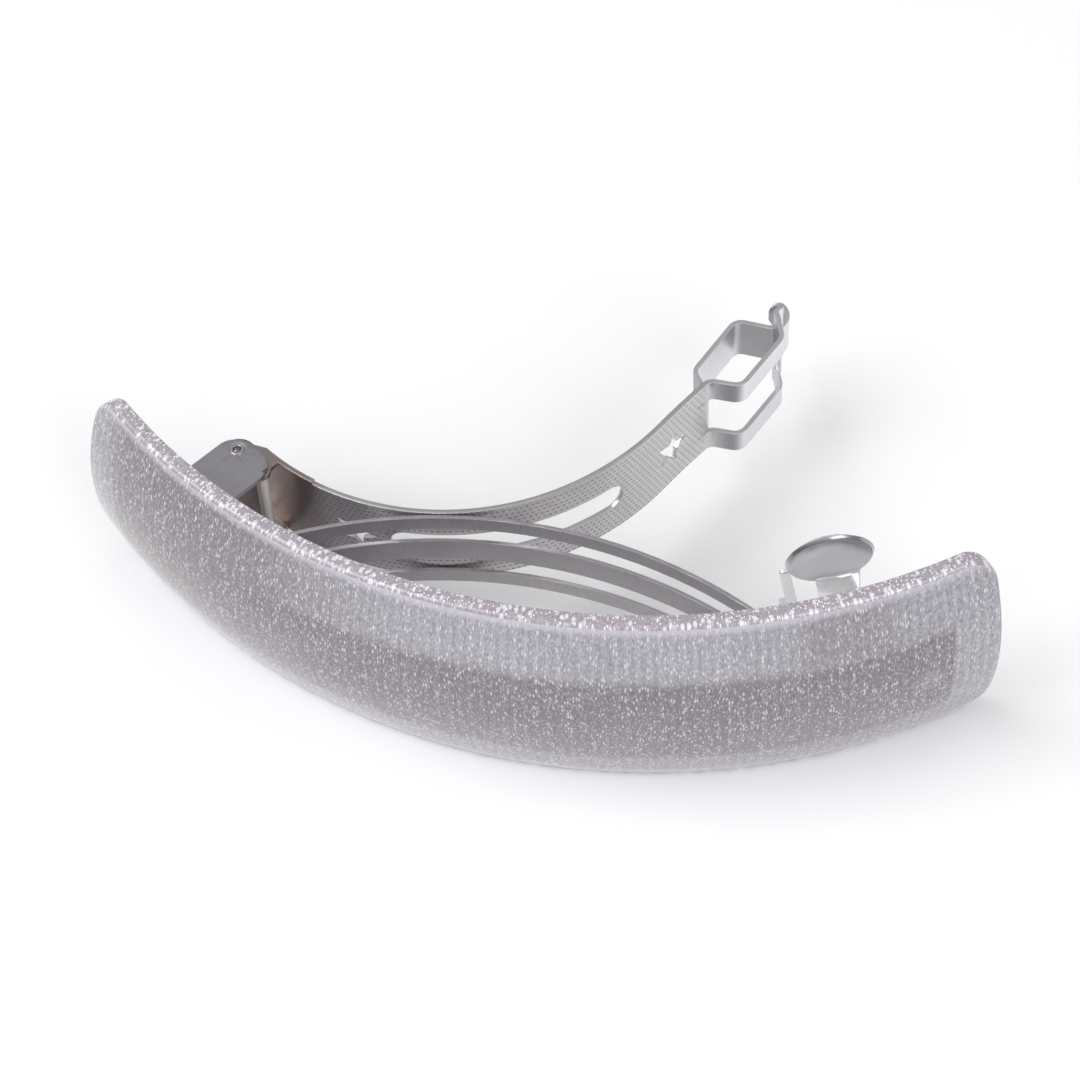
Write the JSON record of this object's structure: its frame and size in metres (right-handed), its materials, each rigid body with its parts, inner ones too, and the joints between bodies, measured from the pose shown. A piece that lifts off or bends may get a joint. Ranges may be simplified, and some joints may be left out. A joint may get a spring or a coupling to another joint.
{
  "type": "french barrette",
  "caption": "Curved French barrette, shown open: a clear acetate bar with glitter fabric inlay and a sprung steel clasp with slotted arm and pinch catch.",
  "frame": {"origin": "middle of the lower long edge of the bar, half-way through its thickness", "axes": "+X along the bar from the hinge end to the catch end, +Y from the bar towards the hair, +Z across the bar's width, upwards when it stands on its lower long edge"},
  "size_m": [0.0912, 0.0538, 0.025],
  "materials": {
    "clear_acetate": "polished, clear",
    "glitter_fabric": "silver-mauve glitter weave",
    "adhesive": "cured, hazy",
    "nickel_steel": "nickel plated",
    "knurled_steel": "nickel plated, stamped dimple pattern",
    "rivet_steel": "nickel plated"
  },
  "bodies": {
    "bar": {"bar_face_sheet": "clear_acetate", "bar_glitter_fabric": "glitter_fabric", "bar_back_sheet": "clear_acetate", "adhesive_bed": "adhesive", "base_strip": "nickel_steel", "hinge_stud_upper": "rivet_steel", "hinge_stud_lower": "rivet_steel", "bow_spring": "nickel_steel", "spring_rivet": "rivet_steel", "catch_saddle": "nickel_steel", "catch_eyelet": "rivet_steel"},
    "arm": {"clamp_arm": "knurled_steel"},
    "upper_wing": {"catch_wing_upper": "nickel_steel"},
    "lower_wing": {"catch_wing_lower": "nickel_steel"}
  },
  "joints": [
    {"name": "arm_hinge", "type": "hinge", "parent": "bar", "child": "arm", "pos_m": [-0.03061, 0.01676, 0.0125], "axis": [0, 0, 1], "range_deg": [-29, 0], "deforming": ["bow_spring"]},
    {"name": "upper_wing_flex", "type": "hinge", "parent": "bar", "child": "upper_wing", "pos_m": [0.03303, 0.00858, 0.0147], "axis": [-0.8581, -0.5135, 0], "range_deg": [0, 5], "stiffness_Nm_per_rad": 0.02},
    {"name": "lower_wing_flex", "type": "hinge", "parent": "bar", "child": "lower_wing", "pos_m": [0.03303, 0.00858, 0.0103], "axis": [0.8581, 0.5135, 0], "range_deg": [0, 5], "stiffness_Nm_per_rad": 0.02}
  ]
}
